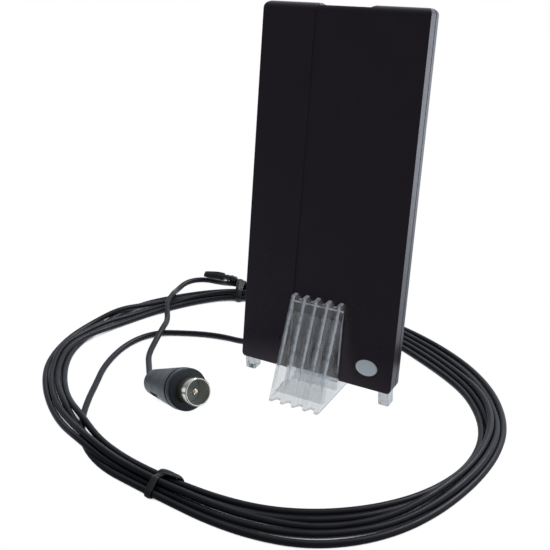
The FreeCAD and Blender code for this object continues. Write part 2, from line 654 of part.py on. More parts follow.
voids = sketch_on(stand, "YZ_Plane", "voids")
UNDER_SEAT = f"({SEAT} - Sizes.sheet_thickness)"
outline(voids, ((wedge_front("Sizes.base_thickness"), "Sizes.base_thickness"),
                (panel_line("Sizes.base_thickness", WEDGE_BACK), "Sizes.base_thickness"),
                (panel_line(WEDGE_APEX, WEDGE_BACK), WEDGE_APEX)))
outline(voids, ((panel_line("Sizes.base_thickness", FACE_SIDE), "Sizes.base_thickness"),
                (panel_line("Sizes.base_thickness", BACK_SIDE), "Sizes.base_thickness"),
                (panel_line(UNDER_SEAT, BACK_SIDE), UNDER_SEAT),
                (panel_line(UNDER_SEAT, FACE_SIDE), UNDER_SEAT)))
outline(voids, ((panel_line("Sizes.base_thickness", BRACE_FRONT), "Sizes.base_thickness"),
                (brace("Sizes.base_thickness", "Sizes.sheet_thickness"), "Sizes.base_thickness"),
                (panel_line(BRACE_APEX, BRACE_FRONT), BRACE_APEX)))
pocket(stand, voids, "2 * Sizes.stand_width", both=True)


# Clear feet under the lower corners, each with a peg into the front shell.

def make_foot(label, sign):
    foot = body_named(label)
    middle = f"{sign}({HALF_WIDTH} - Sizes.foot_inset - Sizes.foot_width / 2)"
    place(foot, (middle, "0", "0"), ("0", "0", "0"))
    block = sketch_on(foot, "XY_Plane", "block")
    round_box_outline(block, "-Sizes.foot_width / 2", "Sizes.foot_width / 2", "Sizes.foot_setback",
                      "(Sizes.foot_setback + Sizes.foot_depth)", "Sizes.foot_round")
    pad(foot, block, "Sizes.panel_lift")
    peg = sketch_on(foot, "XY_Plane", "peg", offset="Sizes.panel_lift - Sizes.peg_length / 2")
    circle_outline(peg, "0", "Sizes.peg_back", "Sizes.peg_radius")
    pad(foot, peg, "1.5 * Sizes.peg_length")


make_foot("left_foot", "-")
make_foot("right_foot", "")


# Cable: a lead from the outlet, one solid for the coil, and a tail to the plug.

def coil_spot(angle, off):
    """A point of the coil's plan: an angle round its middle line and a distance outward."""
    turn = math.radians(angle)
    along = worth("Sizes.coil_length / 2")
    beside = worth("Sizes.coil_breadth / 2")
    outward = FreeCAD.Vector(beside * math.cos(turn), along * math.sin(turn), 0).normalize()
    spot = FreeCAD.Vector(along * math.cos(turn), beside * math.sin(turn), 0) + outward * off
    tilt = FreeCAD.Rotation(FreeCAD.Vector(0, 0, 1), worth("Sizes.coil_turn"))
    return tilt.multVec(spot) + FreeCAD.Vector(worth("Sizes.coil_x"), worth("Sizes.coil_y"), 0)


def coil_rings(way):
    """Closed curves up one edge of the bundle, drawn in where its rims are bevelled."""
    low = worth(COIL_LIFT)
    high = worth(COIL_TOP)
    bevel = worth("Sizes.coil_round")
    rings = []
    for height, drawn_in in ((low, bevel), (low + bevel, 0), (high - bevel, 0), (high, bevel)):
        edge = [coil_spot(angle, way * (spread - drawn_in)) for angle, spread in COIL_SPREAD]
        curve = Part.BSplineCurve()
        curve.interpolate(Points=edge, PeriodicFlag=True)
        curve.translate(FreeCAD.Vector(0, 0, height))
        rings.append(Part.Wire([curve.toShape()]))
    return rings


def coil_shape():
    """Closed loop between the outer and the inner edge of the bundle."""
    outer = Part.makeLoft(coil_rings(1), True, True)
    inner = Part.makeLoft(coil_rings(-1), True, True)
    return outer.cut(inner)


def tube_shape(label, points):
    """Round cable along straight runs that are joined by tangent arcs."""
    path = []
    radii = []
    here = points[0]
    for before, corner, after in zip(points, points[1:], points[2:]):
        back = (before - corner).normalize()
        ahead = (after - corner).normalize()
        half_turn = (math.pi - back.getAngle(ahead)) / 2
        reach = 0.45 * min((before - corner).Length, (after - corner).Length)
        radius = reach / math.tan(half_turn)
        inward = (back + ahead).normalize()
        middle = corner + inward * (radius / math.cos(half_turn) - radius)
        start = corner + back * reach
        end = corner + ahead * reach
        path.append(Part.LineSegment(here, start).toShape())
        path.append(Part.Arc(start, middle, end).toShape())
        radii.append(radius)
        here = end
    path.append(Part.LineSegment(here, points[-1]).toShape())
    spine = Part.Wire(path)
    round_face = Part.Circle(points[0], points[1] - points[0], worth("Sizes.cable_diameter / 2"))
    solid = spine.makePipeShell([Part.Wire([round_face.toShape()])], True, False)
    expected = math.pi * worth("Sizes.cable_diameter / 2") ** 2 * spine.Length
    if abs(solid.Volume / expected - 1) > 0.02:
        raise RuntimeError(f"{label} is not a clean tube")
    print(label, "length", round(spine.Length, 1), "bend radii", [round(r, 1) for r in radii])
    return solid


def on_panel(across, deep, up):
    """A point of the leaning panel in the shared frame."""
    tilt = FreeCAD.Rotation(FreeCAD.Vector(1, 0, 0), -worth("Sizes.lean"))
    spot = tilt.multVec(FreeCAD.Vector(worth(across), worth(deep), worth(up)))
    return spot + FreeCAD.Vector(0, 0, worth("Sizes.panel_lift"))


def on_plug(along):
    """A point of the plug's axis in the shared frame."""
    aim = FreeCAD.Rotation(worth("Sizes.plug_heading"), -worth("Sizes.plug_rise"), 0)
    height = worth("Sizes.plug_rear_radius * cos(Sizes.plug_rise)")
    heel = FreeCAD.Vector(worth("Sizes.plug_x"), worth("Sizes.plug_y"), height)
    return heel + aim.multVec(FreeCAD.Vector(along, 0, 0))


def spread_at(angle):
    """Half the bundle's width at an angle, read between the two angles around it."""
    for (left, narrow), (right, wide) in zip(COIL_SPREAD, COIL_SPREAD[1:]):
        if left <= angle <= right:
            return narrow + (wide - narrow) * (angle - left) / (right - left)
    return COIL_SPREAD[0][1]


lead_points = [on_panel(f"-{LEAD_START}", OUTLET_DEEP, "Sizes.outlet_up"),
               on_panel(f"-{LEAD_START} - Sizes.lead_straight", OUTLET_DEEP, "Sizes.outlet_up")]
lead_points += [FreeCAD.Vector(*spot) for spot in LEAD_ROUTE]
lead_points.append(coil_spot(LEAD_JOIN, -worth("Sizes.join_offset")))
lead_points[-1].z = worth(f"{COIL_LIFT} + Sizes.cable_diameter / 2")
solid_node("cable_lead", tube_shape("cable_lead", lead_points))

solid_node("cable_coil", coil_shape())

tail_points = [coil_spot(TAIL_LEAVES, worth("Sizes.join_offset"))]
tail_points[0].z = worth(f"{COIL_TOP} - Sizes.cable_diameter / 2")
tail_points += [FreeCAD.Vector(*spot) for spot in TAIL_ROUTE]
tail_points += [on_plug(-worth("Sizes.tail_straight")), on_plug(worth("Sizes.plug_bore - Sizes.stand_fit"))]
solid_node("cable_tail", tube_shape("cable_tail", tail_points))


# Twist ties: a band round the bundle with its twisted ends.

def make_tie(label, angle):
    """A band across the bundle; +X follows the bundle and +Y points into the loop."""
    tie = body_named(label)
    spot = coil_spot(angle, 0)
    inward = coil_spot(angle, 0) - coil_spot(angle, 1)
    heading = math.degrees(math.atan2(inward.y, inward.x)) - 90
    tie.Placement = FreeCAD.Placement(spot, FreeCAD.Rotation(heading, 0, 0))
    band = sketch_on(tie, "YZ_Plane", "band")
    half = f"({spread_at(angle)} + Sizes.tie_play)"
    round_box_outline(band, f"(-{half} - Sizes.tie_thickness)", f"({half} + Sizes.tie_thickness)", "0",
                      f"({TIE_TOP} + Sizes.tie_thickness)", "(Sizes.coil_round + Sizes.tie_thickness)")
    round_box_outline(band, f"(-{half})", half, "Sizes.tie_thickness", TIE_TOP, "(Sizes.coil_round / 2)")
    pad(tie, band, "Sizes.tie_width", both=True)
    return tie


back_tie = make_tie("back_tie", BACK_TIE)
ends = sketch_on(back_tie, "XZ_Plane", "ends")
outline(ends, (("-Sizes.tie_width / 2", TIE_TOP), ("Sizes.tie_width / 2", TIE_TOP),
               ("Sizes.tie_tail", f"{TIE_TOP} + Sizes.tie_tail / 4"),
               ("Sizes.tie_tail", f"{TIE_TOP} + Sizes.tie_tail / 4 + 2 * Sizes.tie_thickness"),
               ("-Sizes.tie_width / 2", f"{TIE_TOP} + 2 * Sizes.tie_thickness")))
pad(back_tie, ends, "Sizes.tie_width / 2", both=True)

front_tie = make_tie("front_tie", FRONT_TIE)
knot = sketch_on(front_tie, "XZ_Plane", "knot")
round_box_outline(knot, "(-Sizes.tie_width / 2)", "(Sizes.tie_width / 2)", TIE_TOP,
                  f"({TIE_TOP} + 4 * Sizes.tie_thickness)", "(1.5 * Sizes.tie_thickness)")
pad(front_tie, knot, "Sizes.tie_width", both=True)

# Plug: moulded body, plated ring, insulator and centre pin, all turned about one axis.
plug = body_named("plug_body")
place_on_plug(plug)
collar_back = "Sizes.plug_length - Sizes.collar_length"
groove_back = f"{collar_back} - Sizes.groove_width"
groove_floor = "Sizes.plug_taper_radius - Sizes.groove_depth"
turned(plug, (("Sizes.plug_bore", "0"), ("Sizes.plug_bore", CABLE_BORE), ("0", CABLE_BORE),
              ("0", "Sizes.plug_rear_radius - Sizes.plug_rear_round", "Sizes.plug_rear_round", -1),
              ("Sizes.plug_rear_round", "Sizes.plug_rear_radius"),
              (groove_back, "Sizes.plug_taper_radius"), (groove_back, groove_floor),
              (collar_back, groove_floor), (collar_back, "Sizes.collar_radius"),
              ("Sizes.plug_length - Sizes.collar_round", "Sizes.collar_radius", "Sizes.collar_round", -1),
              ("Sizes.plug_length", "Sizes.collar_radius - Sizes.collar_round"),
              ("Sizes.plug_length", "Sizes.shell_radius - Sizes.shell_step + Sizes.plug_fit"),
              (SHELL_BACK, "Sizes.shell_radius - Sizes.shell_step + Sizes.plug_fit"), (SHELL_BACK, "0")))

shell = body_named("plug_shell")
place_on_plug(shell)
turned(shell, ((SHELL_BACK, "Sizes.shell_radius - Sizes.shell_wall"),
               (SHELL_BACK, "Sizes.shell_radius - Sizes.shell_step"),
               ("Sizes.plug_length", "Sizes.shell_radius - Sizes.shell_step"),
               ("Sizes.plug_length", "Sizes.shell_radius"),
               (f"{SHELL_RIM} - Sizes.shell_chamfer", "Sizes.shell_radius"),
               (SHELL_RIM, "Sizes.shell_radius - Sizes.shell_chamfer"),
               (SHELL_RIM, "Sizes.shell_radius - Sizes.shell_wall")))

insulator = body_named("plug_insulator")
place_on_plug(insulator)
insulator_front = f"{SHELL_BACK} + Sizes.insulator_thickness"
insulator_radius = "Sizes.shell_radius - Sizes.shell_wall - Sizes.plug_fit"
turned(insulator, ((SHELL_BACK, "Sizes.pin_radius + Sizes.plug_fit"), (SHELL_BACK, insulator_radius),
                   (insulator_front, insulator_radius),
                   (insulator_front, "Sizes.pin_radius + Sizes.plug_fit")))

pin = body_named("plug_pin")
place_on_plug(pin)
turned(pin, ((SHELL_BACK, "0"), (SHELL_BACK, "Sizes.pin_radius"),
             (f"{PIN_TIP} - Sizes.pin_round", "Sizes.pin_radius", "Sizes.pin_round", -1),
             (PIN_TIP, "Sizes.pin_radius - Sizes.pin_round"), (PIN_TIP, "0")))

# Check every object, then write one file for each node.
doc.recompute()
for item in doc.Objects:
    if "Invalid" in item.State or "Error" in item.State:
        raise RuntimeError(f"{item.Label} is in error")
os.makedirs("parts", exist_ok=True)
for node in nodes:
    if node.Shape.isNull() or not node.Shape.isValid():
        raise RuntimeError(f"{node.Label} has no sound shape")
    node.Shape.exportStep(f"parts/{node.Label}.step")
    print(node.Label, "volume", round(node.Shape.Volume, 1), "solids", len(node.Shape.Solids))
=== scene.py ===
import json
import math

import bmesh
import bpy
from mathutils import Matrix, Vector


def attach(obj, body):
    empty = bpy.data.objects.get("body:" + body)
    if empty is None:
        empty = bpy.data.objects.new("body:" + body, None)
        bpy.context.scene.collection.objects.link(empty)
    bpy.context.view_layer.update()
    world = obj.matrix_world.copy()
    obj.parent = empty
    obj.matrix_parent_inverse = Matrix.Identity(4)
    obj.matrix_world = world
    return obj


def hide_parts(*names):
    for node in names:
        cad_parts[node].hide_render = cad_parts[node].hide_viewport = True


MM = 0.001

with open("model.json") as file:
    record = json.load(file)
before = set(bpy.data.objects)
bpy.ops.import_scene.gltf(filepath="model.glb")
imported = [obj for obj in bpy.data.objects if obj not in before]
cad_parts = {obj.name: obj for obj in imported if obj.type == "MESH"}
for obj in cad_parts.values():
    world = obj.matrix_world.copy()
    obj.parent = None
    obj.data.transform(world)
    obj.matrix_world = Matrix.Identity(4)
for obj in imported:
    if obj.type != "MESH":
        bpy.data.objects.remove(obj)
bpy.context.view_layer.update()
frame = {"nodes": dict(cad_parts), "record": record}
nodes = frame["nodes"]


# Camera, fitted to the photograph.

CAMERA_SPOT = (133.76, -233.35, 175.76)
CAMERA_YAW = 32.33
CAMERA_PITCH = 25.91
CAMERA_ROLL = 2.92
CAMERA_LENS = 57.84
CAMERA_SENSOR = 36
CAMERA_NEAR = 0.01

yaw = math.radians(CAMERA_YAW)
pitch = math.radians(CAMERA_PITCH)
roll = math.radians(CAMERA_ROLL)
ahead = Vector((-math.sin(yaw) * math.cos(pitch), math.cos(yaw) * math.cos(pitch), -math.sin(pitch)))
level = Vector((math.cos(yaw), math.sin(yaw), 0))
down = ahead.cross(level)
right = math.cos(roll) * level + math.sin(roll) * down
below = math.cos(roll) * down - math.sin(roll) * level

camera_data = bpy.data.cameras.new("camera")
camera_data.lens = CAMERA_LENS
camera_data.sensor_width = CAMERA_SENSOR
camera_data.clip_start = CAMERA_NEAR
camera = bpy.data.objects.new("camera", camera_data)
bpy.context.scene.collection.objects.link(camera)
turn = Matrix((right, -below, -ahead)).transposed().to_4x4()
camera.matrix_world = Matrix.Translation(Vector(CAMERA_SPOT) * MM) @ turn
bpy.context.scene.camera = camera


# Node helpers

NOISE_LOW = 0.3
NOISE_HIGH = 0.7


def node_adder(tree):
    """A helper that adds a node to a tree with its settings."""
    def add(kind, **settings):
        node = tree.nodes.new(kind)
        for key, value in settings.items():
            setattr(node, key, value)
        return node

    return add


def material(name):
    """A node material with a surface shader, and what is needed to add nodes to it."""
    made = bpy.data.materials.new(name)
    made.use_nodes = True
    tree = made.node_tree
    return made, tree.links, tree.nodes["Principled BSDF"], node_adder(tree)


def ramp(links, add, source, start, end, low, high, shape="SMOOTHSTEP"):
    """Value that goes from low to high as the source goes from start to end."""
    ranger = add("ShaderNodeMapRange", interpolation_type=shape)
    for key, value in (("From Min", start), ("From Max", end), ("To Min", low), ("To Max", high)):
        ranger.inputs[key].default_value = value
    links.new(source, ranger.inputs["Value"])
    return ranger.outputs["Result"]


def ramp_along(links, add, vector, axis, start, end, low, high):
    """Value that changes along a direction."""
    dot = add("ShaderNodeVectorMath", operation="DOT_PRODUCT")
    dot.inputs[1].default_value = axis
    links.new(vector, dot.inputs[0])
    return ramp(links, add, dot.outputs["Value"], start, end, low, high)


def combine(links, add, operation, first, *others):
    """Values put together, one after the other, by a sum, a product or a choice."""
    value = first
    for other in others:
        both = add("ShaderNodeMath", operation=operation)
        links.new(value, both.inputs[0])
        links.new(other, both.inputs[1])
        value = both.outputs["Value"]
    return value


def without_sign(links, add, source):
    """Size of a value, with its sign left off."""
    made = add("ShaderNodeMath", operation="ABSOLUTE")
    links.new(source, made.inputs[0])
    return made.outputs["Value"]


def spread(links, add, source, low, high, to):
    """Maps the middle of a noise on to a range and feeds a socket with it."""
    links.new(ramp(links, add, source, NOISE_LOW, NOISE_HIGH, low, high, "LINEAR"), to)


def two_tone(links, add, source, dark, light, to):
    """Colours between two tones by a 0 to 1 value."""
    tones = add("ShaderNodeValToRGB")
    first, second = tones.color_ramp.elements
    first.position = NOISE_LOW
    first.color = (*dark, 1)
    second.position = NOISE_HIGH
    second.color = (*light, 1)
    links.new(source, tones.inputs["Fac"])
    links.new(tones.outputs["Color"], to)


def noise(links, add, scale, detail=3.0, stretch=(1, 1, 1)):
    """Noise over the object's own metres."""
    place = add("ShaderNodeTexCoord")
    mapping = add("ShaderNodeMapping")
    mapping.inputs["Scale"].default_value = stretch
    grain = add("ShaderNodeTexNoise")
    grain.inputs["Scale"].default_value = scale
    grain.inputs["Detail"].default_value = detail
    links.new(place.outputs["Object"], mapping.inputs["Vector"])
    links.new(mapping.outputs["Vector"], grain.inputs["Vector"])
    return grain.outputs["Fac"]


def grain_bump(links, add, shader, height, depth, strength, edge=0.0):
    """Fine surface relief, over edges that are softened by a small radius."""
    bump = add("ShaderNodeBump")
    bump.inputs["Strength"].default_value = strength
    bump.inputs["Distance"].default_value = depth
    links.new(height, bump.inputs["Height"])
    if edge:
        soft = add("ShaderNodeBevel", samples=6)
        soft.inputs["Radius"].default_value = edge
        links.new(soft.outputs["Normal"], bump.inputs["Normal"])
    links.new(bump.outputs["Normal"], shader.inputs["Normal"])


# Finishes

PATCH_SCALE = 90
GLOSS_SCALE = 260
MARK_SCALE = 900
GRAIN_DEPTH = 0.00005
MARK_DEPTH = 0.00002
FLOW_DEPTH = 0.0002
CLEARNESS = 0.97


def moulded(name, dark, light, rough, grain_scale, relief, edge=0.0, gloss=0.5, glint=(1, 1, 1)):
    """Moulded plastic: two close tones in soft patches, uneven gloss and a fine grain."""
    made, links, shader, add = material(name)
    two_tone(links, add, noise(links, add, PATCH_SCALE, 4), dark, light, shader.inputs["Base Color"])
    spread(links, add, noise(links, add, GLOSS_SCALE, 2), *rough, shader.inputs["Roughness"])
    shader.inputs["Specular IOR Level"].default_value = gloss
    shader.inputs["Specular Tint"].default_value = (*glint, 1)
    grain_bump(links, add, shader, noise(links, add, grain_scale, 2), GRAIN_DEPTH, relief, edge)
    return made


def plated(name, dark, light, rough, stretch=(1, 1, 1)):
    """Plated metal with faint turning marks."""
    made, links, shader, add = material(name)
    marks = noise(links, add, MARK_SCALE, 3, stretch)
    two_tone(links, add, noise(links, add, 500, 2), dark, light, shader.inputs["Base Color"])
    shader.inputs["Metallic"].default_value = 1
    spread(links, add, marks, *rough, shader.inputs["Roughness"])
    grain_bump(links, add, shader, marks, MARK_DEPTH, 0.12, edge=0.00012)
    return made


def clear(name, tint, bend):
    """Clear moulded plastic with faint flow marks."""
    made, links, shader, add = material(name)
    shader.inputs["Base Color"].default_value = (*tint, 1)
    shader.inputs["IOR"].default_value = bend
    shader.inputs["Transmission Weight"].default_value = CLEARNESS
    shader.inputs["Coat Weight"].default_value = 1
    shader.inputs["Coat Roughness"].default_value = 0.05
    spread(links, add, noise(links, add, 60, 3, (1, 1, 0.25)), 0.03, 0.1, shader.inputs["Roughness"])
    grain_bump(links, add, shader, noise(links, add, 220, 2, (1, 1, 0.15)), FLOW_DEPTH, 0.22,
               edge=0.00015)
    return made, links, shader, add


# The clear stand's own planes, in metres: the rib crests, the top fold and the line under it.
RIB_FACING = (0, -0.872, 0.489)
CREST_LEVEL = 0.013248
RIB_PITCH = 0.0045
STAND_TOP = 0.033
FOLD_TOP = 0.0314
FOLD_UNDER = 0.0297
# White of the painted highlights on the clear stand.
PAINTED_GLINT_WHITE = (0.97, 0.98, 1)

# Soft steps of the painted highlights and of the painted shade at the foot, from where each starts to change
# to where it stops: planes in metres, or how far a face looks towards an axis.
CREST_STEP = (CREST_LEVEL - 0.0005, CREST_LEVEL - 0.0001)
SIDE_STEP = (CREST_LEVEL - 0.0036, CREST_LEVEL - 0.003)
FRONT_SHEET_STEP = (CREST_LEVEL - 0.0021, CREST_LEVEL - 0.0018)
RIB_SIDE_STEP = (-0.0002, 0.0002)
RIB_MIDDLE_STEP = (0.0001, 0.0004)
TOP_STEP = (STAND_TOP - 0.0005, STAND_TOP - 0.0001)
FOLD_STEP = (FOLD_TOP - 0.0005, FOLD_TOP - 0.0002)
UNDER_START = (FOLD_UNDER - 0.0001, FOLD_UNDER + 0.0001)
UNDER_END = (FOLD_UNDER + 0.0005, FOLD_UNDER + 0.0007)
LOW_STEP = (0.004, 0.015)
FOOT_STEP = (0.0003, 0.001)
LOOKS_ASIDE = (0.9, 0.98)
LOOKS_UP = (0.85, 0.97)
LOOKS_FLAT = (0.8, 0.95)


def ribbed_clear(name, tint, bend):
    """Clear plastic with painted highlights on its rib crests, cut rear sides, top ends and fold, and painted
    shade along its foot.
    """
    made, links, shader, add = clear(name, tint, bend)

    def step(source, start, end, low=0, high=1):
        return ramp(links, add, source, start, end, low, high)

    def product(*values):
        return combine(links, add, "MULTIPLY", *values)

    def most(*values):
        return combine(links, add, "MAXIMUM", *values)

    surface = add("ShaderNodeNewGeometry")
    place = add("ShaderNodeSeparateXYZ")
    links.new(surface.outputs["Position"], place.inputs["Vector"])
    height = place.outputs["Z"]
    facing = add("ShaderNodeSeparateXYZ")
    links.new(surface.outputs["True Normal"], facing.inputs["Vector"])
    wrap = add("ShaderNodeMath", operation="WRAP")
    wrap.inputs[1].default_value = RIB_PITCH / 2
    wrap.inputs[2].default_value = -RIB_PITCH / 2
    links.new(place.outputs["X"], wrap.inputs[0])
    from_rib = wrap.outputs["Value"]
    across = without_sign(links, add, from_rib)
    aside = without_sign(links, add, facing.outputs["X"])
    flat = without_sign(links, add, facing.outputs["Z"])
    dot = add("ShaderNodeVectorMath", operation="DOT_PRODUCT")
    dot.inputs[1].default_value = RIB_FACING
    links.new(surface.outputs["Position"], dot.inputs[0])
    forward = dot.outputs["Value"]

    # Painted highlights: the rib crests, cut rear sides, fold, top ends, a line under the fold and faint
    # streaks are masked and made white and less clear.
    crest = product(step(forward, *CREST_STEP), step(from_rib, *RIB_SIDE_STEP, 0.4))
    side = product(step(aside, *LOOKS_ASIDE), step(forward, *SIDE_STEP, 1, 0.1))
    lines = product(most(crest, side), step(height, *LOW_STEP, 0.15))
    fold = product(step(facing.outputs["Z"], *LOOKS_UP), step(height, *FOLD_STEP))
    tops = product(step(height, *TOP_STEP), step(across, *RIB_MIDDLE_STEP, 0.3))
    under_fold = product(step(height, *UNDER_START), step(height, *UNDER_END, 0.6, 0),
                         step(forward, *FRONT_SHEET_STEP, 1, 0))
    streaks = step(noise(links, add, 1100, 2, (1, 0.04, 0.04)), 0.5, 0.72, 0, 0.3)
    patches = step(noise(links, add, 400, 3), 0.3, 0.6, 0.6)
    painted_glint = product(most(lines, tops, fold, under_fold, streaks), patches)
    links.new(step(painted_glint, 0, 1, CLEARNESS, 0.05), shader.inputs["Transmission Weight"])

    # Painted shade: upright faces within a millimetre of the table get a darker base colour.
    painted_foot_shade = most(step(height, *FOOT_STEP, 0.55), step(flat, *LOOKS_FLAT))
    shaded = add("ShaderNodeVectorMath", operation="SCALE")
    two_tone(links, add, painted_glint, tint, PAINTED_GLINT_WHITE, shaded.inputs[0])
    links.new(painted_foot_shade, shaded.inputs["Scale"])
    links.new(shaded.outputs["Vector"], shader.inputs["Base Color"])
    return made


def jacket(name):
    """Cable jacket: satin black with a faint drawn texture and dusty patches."""
    made, links, shader, add = material(name)
    two_tone(links, add, noise(links, add, 120, 4), (0.006, 0.006, 0.007), (0.011, 0.011, 0.013),
             shader.inputs["Base Color"])
    spread(links, add, noise(links, add, 320, 3), 0.34, 0.46, shader.inputs["Roughness"])
    shader.inputs["Specular IOR Level"].default_value = 0.3
    shader.inputs["Specular Tint"].default_value = (0.97, 0.92, 1, 1)
    grain_bump(links, add, shader, noise(links, add, 1500, 2), GRAIN_DEPTH, 0.25)
    return made


plug_black = moulded("plug_black", (0.036, 0.038, 0.042), (0.047, 0.050, 0.055), (0.27, 0.38), 2400, 0.3,
                     edge=0.0002, gloss=0.22)
cable_black = jacket("cable_black")
tie_black = moulded("tie_black", (0.006, 0.006, 0.007), (0.012, 0.012, 0.014), (0.28, 0.42), 1800, 0.3)
clear_stand = ribbed_clear("clear_stand", (0.75, 0.77, 0.79), 1.09)

FINISHES = {
    "panel_black": moulded("panel_black", (0.019, 0.014, 0.017), (0.024, 0.018, 0.022), (0.27, 0.34), 2600,
                           0.16, edge=0.00025, gloss=0.42, glint=(1, 0.84, 0.97)),
    "badge_silver": moulded("badge_silver", (0.84, 0.88, 0.90), (0.92, 0.96, 0.97), (0.35, 0.45), 1500, 0.2,
                            edge=0.0002),
    "clear_plastic": clear("clear_plastic", (0.44, 0.465, 0.485), 1.47)[0],
    "cable_black": cable_black,
    "tie_black": tie_black,
    "grommet_black": moulded("grommet_black", (0.009, 0.009, 0.010), (0.015, 0.015, 0.016), (0.5, 0.62), 2200,
                             0.35, edge=0.0002),
    "plug_black": plug_black,
    "plug_plate": plated("plug_plate", (0.82, 0.76, 0.65), (0.92, 0.86, 0.75), (0.1, 0.2), stretch=(1, 1, 6)),
    "insulator_dark": moulded("insulator_dark", (0.46, 0.53, 0.57), (0.54, 0.61, 0.65), (0.4, 0.55), 1600,
                              0.3),
    "board_green": moulded("board_green", (0.02, 0.10, 0.04), (0.04, 0.16, 0.07), (0.35, 0.5), 1400, 0.3),
    "copper": plated("copper", (0.66, 0.36, 0.22), (0.76, 0.45, 0.28), (0.25, 0.4)),
    "tinned_metal": plated("tinned_metal", (0.56, 0.56, 0.55), (0.70, 0.70, 0.69), (0.25, 0.4)),
    "ferrite": moulded("ferrite", (0.02, 0.02, 0.022), (0.035, 0.035, 0.037), (0.5, 0.7), 900, 0.4),
}
for subpart in frame["record"]["subparts"]:
    name = subpart["node"]
    finish = clear_stand if name == "stand" else FINISHES[subpart["material_slot"]]
    nodes[name].data.materials.clear()
    nodes[name].data.materials.append(finish)


# Cable: the lead, the turns of the coil and the tail are one line.

CABLE = 2.3
COIL_X = -15.2
COIL_Y = -11.2
COIL_HALF_LENGTH = 84.7
COIL_HALF_BREADTH = 63.1
COIL_TURN = -8.2
FRONT_TIE = -84
BACK_TIE = 129
TURN_START = -118
TURN_END = 1572
STEP = 10
PER_TURN = 360 // STEP
TIE_LIFT = 0.55
TIE_REACH = 9
CLEAR_OF_TABLE = 0.05
SWAY = 0.15
SWAY_RATE = 0.11
SWAY_SHIFT = 1.7
SWEEPS = 60
SMOOTHING = 0.5
SINKING = 0.25
LAST_TURN = 4

# Offsets of the innermost and the outermost turn from the coil's middle line, by angle round the loop.
EDGES = (
    (-118, -5.05, 1.85), (-106, -5.2, 1.2), (-97, -6.0, 1.7), (-84, -6.6, 0.7), (-73, -6.6, 2.7),
    (-60, -5.2, 5.7), (-47, -5.2, 7.7), (-38, -5.6, 7.0), (-27, -5.8, 5.2), (-12, -5.4, 1.7),
    (-2, -4.3, 1.0), (7, -3.5, 1.2), (22, -3.1, 3.6), (34, -3.9, 4.8), (45, -4.6, 5.1),
    (57, -7.0, 4.5), (67, -7.2, 3.6), (78, -6.6, 3.6), (105, -4.4, 3.8), (129, -0.4, 4.6),
    (137, -1.2, 4.9), (144, -3.4, 4.3), (150, -5.0, 3.4), (168, -7.2, 4.0), (183, -5.0, 4.4),
    (192, -3.2, 4.8), (201, -0.8, 5.3), (212, -1.7, 5.4), (222, -2.75, 4.15), (230, -3.7, 3.2),
    (242, -5.05, 1.85),
)

# Where each turn runs between those two, from -1 at the inner edge to 1 at the outer edge.
# The first turn comes in under the others, runs outermost and dives back under them on the left.
LANES = (
    ((-118, -1), (-106, 0.9), (-97, 1), (160, 1), (175, 0.3), (185, -0.2), (195, -0.7), (203, -1), (242, -1)),
    ((-118, -1), (190, -1), (203, -0.6), (222, -0.35), (242, -0.33)),
    ((-118, -0.33), (-84, -0.33), (-47, -0.53), (-20, -0.45), (7, 0), (30, -0.4), (51, -0.54), (64, -0.5),
     (98, -0.5), (129, -0.5), (150, -0.33), (165, -0.38), (175, -0.45), (185, -0.35), (195, 0), (203, 0.2),
     (222, 0.3), (242, 0.33)),
    ((-118, 0.33), (-97, 0.1), (-84, 0), (-47, -0.06), (-20, -0.1), (7, -0.5), (30, -0.1), (51, -0.07),
     (64, 0), (129, 0), (150, 0.33), (165, 0.33), (175, 0.6), (185, 1), (242, 1)),
    ((-118, 1), (-106, 0.75), (-97, 0.55), (-84, 0.33), (-47, 0.41), (7, 0.5), (51, 0.39), (64, 0.5),
     (98, 0.5), (120, 0.9), (132, 1.3)),
)

# Which turns were laid first: the fourth one is on top at the front tie, the last one at the back tie.
FRONT_ORDER = (0, 1, 2, 4, 3)
BACK_ORDER = (0, 1, 3, 2, 4)
ORDER_CHANGE = 75

# The last turn is lifted towards its end, where the back tie holds it up as the tail.
LAST_RISE = ((105, 0), (132, 1.1))

LEAD_ROUTE = (
    (-20.5, 10.08, 9.55), (-27.0, 10.08, 9.4), (-31.8, 10.6, 4.3), (-39.1, 12.1, 2.1), (-47.8, 13.2, 1.2),
    (-56.2, 11.5, 1.2), (-66.2, 7.7, 1.2), (-73.9, 4.1, 1.2), (-78.5, -4.2, 1.2), (-79.0, -14.3, 1.2),
    (-76.1, -26.3, 1.2), (-71.1, -36.0, 1.2), (-66.4, -45.8, 1.2),
)
TAIL_ROUTE = (
    (-75.6, 53.0, 1.3), (-84.6, 51.3, 2.0), (-89.4, 45.1, 2.4), (-89.0, 36.6, 1.6), (-85.2, 30.5, 4.6),
    (-82.7, 21.9, 4.2), (-75.4, 13.1, 2.2), (-71.5, 5.5, 4.1), (-69.6, -2.5, 2.1), (-66.2, -11.6, 1.3),
    (-61.0, -17.8, 1.5), (-52.07, -28.11, 3.24), (-45.6, -30.71, 5.72),
)


def between(table, at, column=1):
    """Reads a column of a table between its rows."""
    for row, after in zip(table, table[1:]):
        if row[0] <= at <= after[0]:
            return row[column] + (after[column] - row[column]) * (at - row[0]) / (after[0] - row[0])
    return table[0][column] if at < table[0][0] else table[-1][column]


def coil_spot(angle, off, height):
    """A point of the coil: an angle round its middle line, a distance outward and a height."""
    cos = math.cos(math.radians(angle))
    sin = math.sin(math.radians(angle))
    outward = Vector((COIL_HALF_BREADTH * cos, COIL_HALF_LENGTH * sin, 0)).normalized()
    spot = Vector((COIL_HALF_LENGTH * cos, COIL_HALF_BREADTH * sin, 0)) + outward * off
    spot.rotate(Matrix.Rotation(math.radians(COIL_TURN), 3, "Z"))
    return spot + Vector((COIL_X, COIL_Y, height))


def floor_at(angle):
    """Height of the lowest cable's middle, lifted where a tie's band runs under the bundle."""
    near = min(abs(angle - FRONT_TIE), abs(angle - BACK_TIE))
    return CABLE / 2 + CLEAR_OF_TABLE + TIE_LIFT * math.exp(-(near / TIE_REACH) ** 2)


